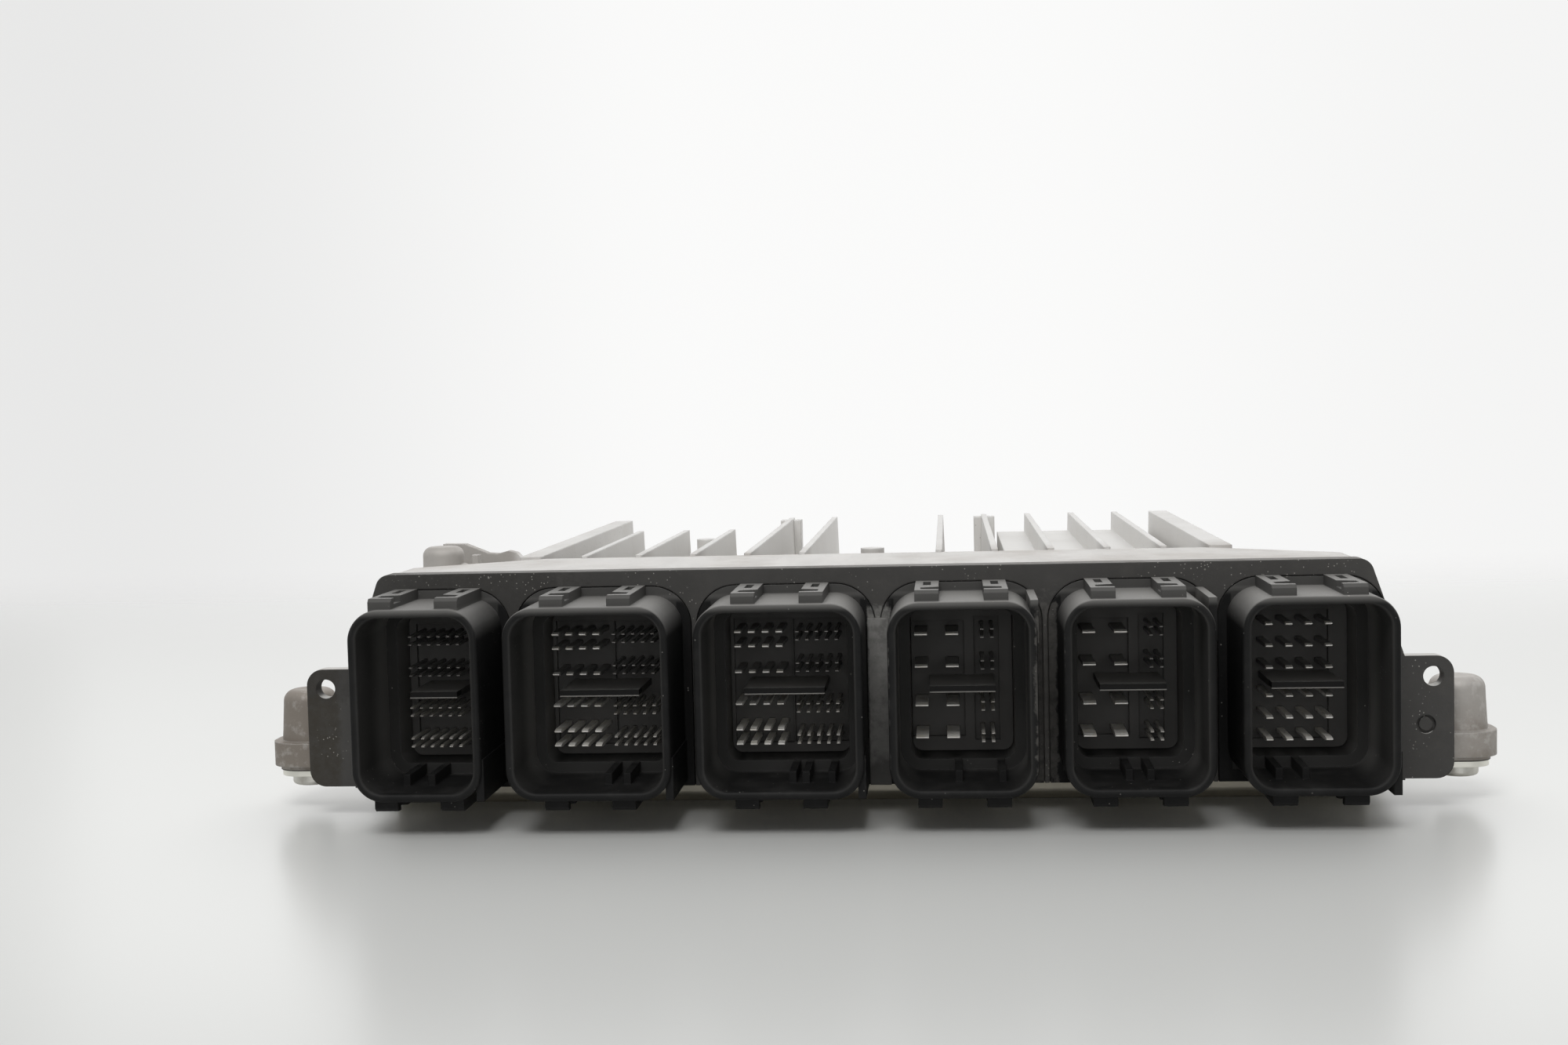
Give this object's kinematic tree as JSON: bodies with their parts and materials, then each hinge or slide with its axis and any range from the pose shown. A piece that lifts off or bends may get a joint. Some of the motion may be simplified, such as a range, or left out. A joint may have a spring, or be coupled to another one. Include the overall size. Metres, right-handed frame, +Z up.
{
  "type": "engine control unit",
  "caption": "Engine control unit with a finned cast housing, a pressed base pan and a row of shrouded plug sockets with contact pins along the front.",
  "frame": {"origin": "middle of the unit's outline on the surface that it stands on", "axes": "+X along the socket row, -Y towards the plugs, +Z up to the fins"},
  "size_m": [0.2304, 0.167, 0.046],
  "materials": {
    "cast_aluminium": "matt as-cast skin with slight staining",
    "pressed_sheet": "dull pressed sheet",
    "frame_plastic": "fine moulded grain with dust",
    "socket_plastic": "satin moulded plastic",
    "plate_plastic": "matt moulded plastic",
    "contact_metal": "bright tin plating",
    "seal_rubber": "matt silicone",
    "board_laminate": "solder mask",
    "chip_moulding": "matt moulding compound",
    "capacitor_can": "sleeved can",
    "coil_core": "pressed ferrite",
    "pad_silicone": "soft filled silicone",
    "screw_steel": "zinc plated"
  },
  "bodies": {
    "root": {"cooling_housing": "cast_aluminium", "base_pan": "pressed_sheet", "connector_frame": "frame_plastic", "signal_socket": "socket_plastic", "left_mixed_socket": "socket_plastic", "right_mixed_socket": "socket_plastic", "left_blade_socket": "socket_plastic", "right_blade_socket": "socket_plastic", "power_socket": "socket_plastic", "signal_contact_plate": "plate_plastic", "left_mixed_contact_plate": "plate_plastic", "right_mixed_contact_plate": "plate_plastic", "left_blade_contact_plate": "plate_plastic", "right_blade_contact_plate": "plate_plastic", "power_contact_plate": "plate_plastic", "signal_socket_pins": "contact_metal", "left_mixed_load_pins": "contact_metal", "left_mixed_signal_pins": "contact_metal", "right_mixed_load_pins": "contact_metal", "right_mixed_signal_pins": "contact_metal", "left_socket_blades": "contact_metal", "left_blade_signal_pins": "contact_metal", "right_socket_blades": "contact_metal", "right_blade_signal_pins": "contact_metal", "power_socket_pins": "contact_metal", "frame_seal": "seal_rubber", "base_seal": "seal_rubber", "circuit_board": "board_laminate", "processor": "chip_moulding", "memory_chip": "chip_moulding", "driver_chips": "chip_moulding", "buffer_capacitors": "capacitor_can", "coils": "coil_core", "pressure_sensor": "chip_moulding", "thermal_pads": "pad_silicone", "board_screws": "screw_steel", "base_screws": "screw_steel"}
  },
  "joints": []
}
